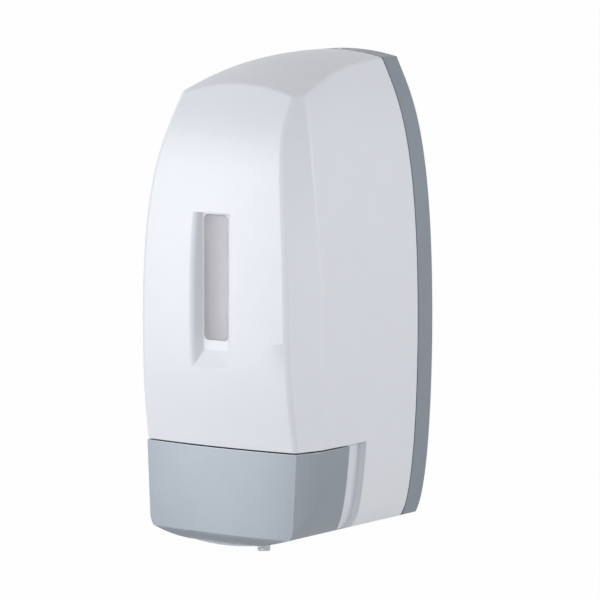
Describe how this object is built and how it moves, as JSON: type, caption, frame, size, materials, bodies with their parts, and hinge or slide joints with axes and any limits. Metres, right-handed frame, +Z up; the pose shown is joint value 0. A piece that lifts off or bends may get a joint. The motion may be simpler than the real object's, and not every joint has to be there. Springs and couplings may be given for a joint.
{
  "type": "wall mounted soap dispenser",
  "caption": "Wall mounted push soap dispenser: domed white cover with a level window, grey push panel, and a tank with a piston pump behind a hinged cover.",
  "frame": {"origin": "on the wall face of the back plate, in the middle plane, at the height where the body is widest", "axes": "+X to the right seen from the room, +Y into the wall, +Z up; the front faces -Y"},
  "size_m": [0.1, 0.1138, 0.2398],
  "materials": {
    "cover_white": "satin moulded ABS",
    "plate_grey": "fine moulded texture",
    "panel_grey": "fine moulded texture",
    "window_clear": "polished clear plastic",
    "nozzle_clear": "clear moulded plastic",
    "tank_translucent": "milky moulded polyethylene",
    "lid_white": "moulded plastic",
    "washer_white": "acetal",
    "pump_white": "moulded plastic",
    "pump_grey": "moulded plastic",
    "rubber_dark": "matt rubber",
    "silicone": "soft silicone",
    "steel": "zinc plated",
    "spring_steel": "drawn wire",
    "lock_chrome": "polished",
    "cam_zinc": "die cast zinc"
  },
  "bodies": {
    "wall_unit": {"back_plate": "plate_grey", "hinge_pins": "steel", "tank": "tank_translucent", "tank_screws": "steel", "pump_gasket": "rubber_dark", "union_nut": "pump_grey", "pump_body": "pump_white", "barrel_cap": "pump_grey", "inlet_seat": "pump_grey", "valve_pin": "steel", "outlet_valve": "silicone", "nozzle": "nozzle_clear", "return_spring": "spring_steel"},
    "cover": {"cover": "cover_white", "window": "window_clear"},
    "push_panel": {"push_panel": "panel_grey", "push_pad": "rubber_dark", "guide_screws": "steel", "guide_washers": "washer_white"},
    "piston": {"piston": "pump_white", "piston_seal": "rubber_dark", "piston_cap": "pump_grey"},
    "inlet_ball": {"inlet_ball": "steel"},
    "lid": {"tank_lid": "lid_white"},
    "lock": {"lock_barrel": "lock_chrome", "lock_cam": "cam_zinc", "lock_screw": "steel"}
  },
  "joints": [
    {"name": "cover_hinge", "type": "hinge", "parent": "wall_unit", "child": "cover", "pos_m": [0, -0.03, -0.089], "axis": [1, 0, 0], "range_deg": [0, 80]},
    {"name": "push_slide", "type": "slide", "parent": "cover", "child": "push_panel", "axis": [0, 1, 0], "range_m": [0, 0.0085], "stiffness_N_per_m": 1200, "springref_m": -0.006},
    {"name": "piston_slide", "type": "slide", "parent": "wall_unit", "child": "piston", "axis": [0, 1, 0], "range_m": [0, 0.0085], "deforming": ["return_spring"]},
    {"name": "inlet_ball_lift", "type": "slide", "parent": "wall_unit", "child": "inlet_ball", "axis": [0, 0, 1], "range_m": [0, 0.0022]},
    {"name": "lid_slide", "type": "slide", "parent": "wall_unit", "child": "lid", "axis": [0, 1, 0], "range_m": [0, 0.034]},
    {"name": "lock_turn", "type": "hinge", "parent": "wall_unit", "child": "lock", "pos_m": [0, -0.0068, 0.128], "axis": [0, 0, 1], "range_deg": [0, 90]}
  ],
  "couplings": [
    {"joint": "piston_slide", "follows": "push_slide", "ratio": 1},
    {"joint": "inlet_ball_lift", "follows": "push_slide", "ratio": 0.2588}
  ]
}
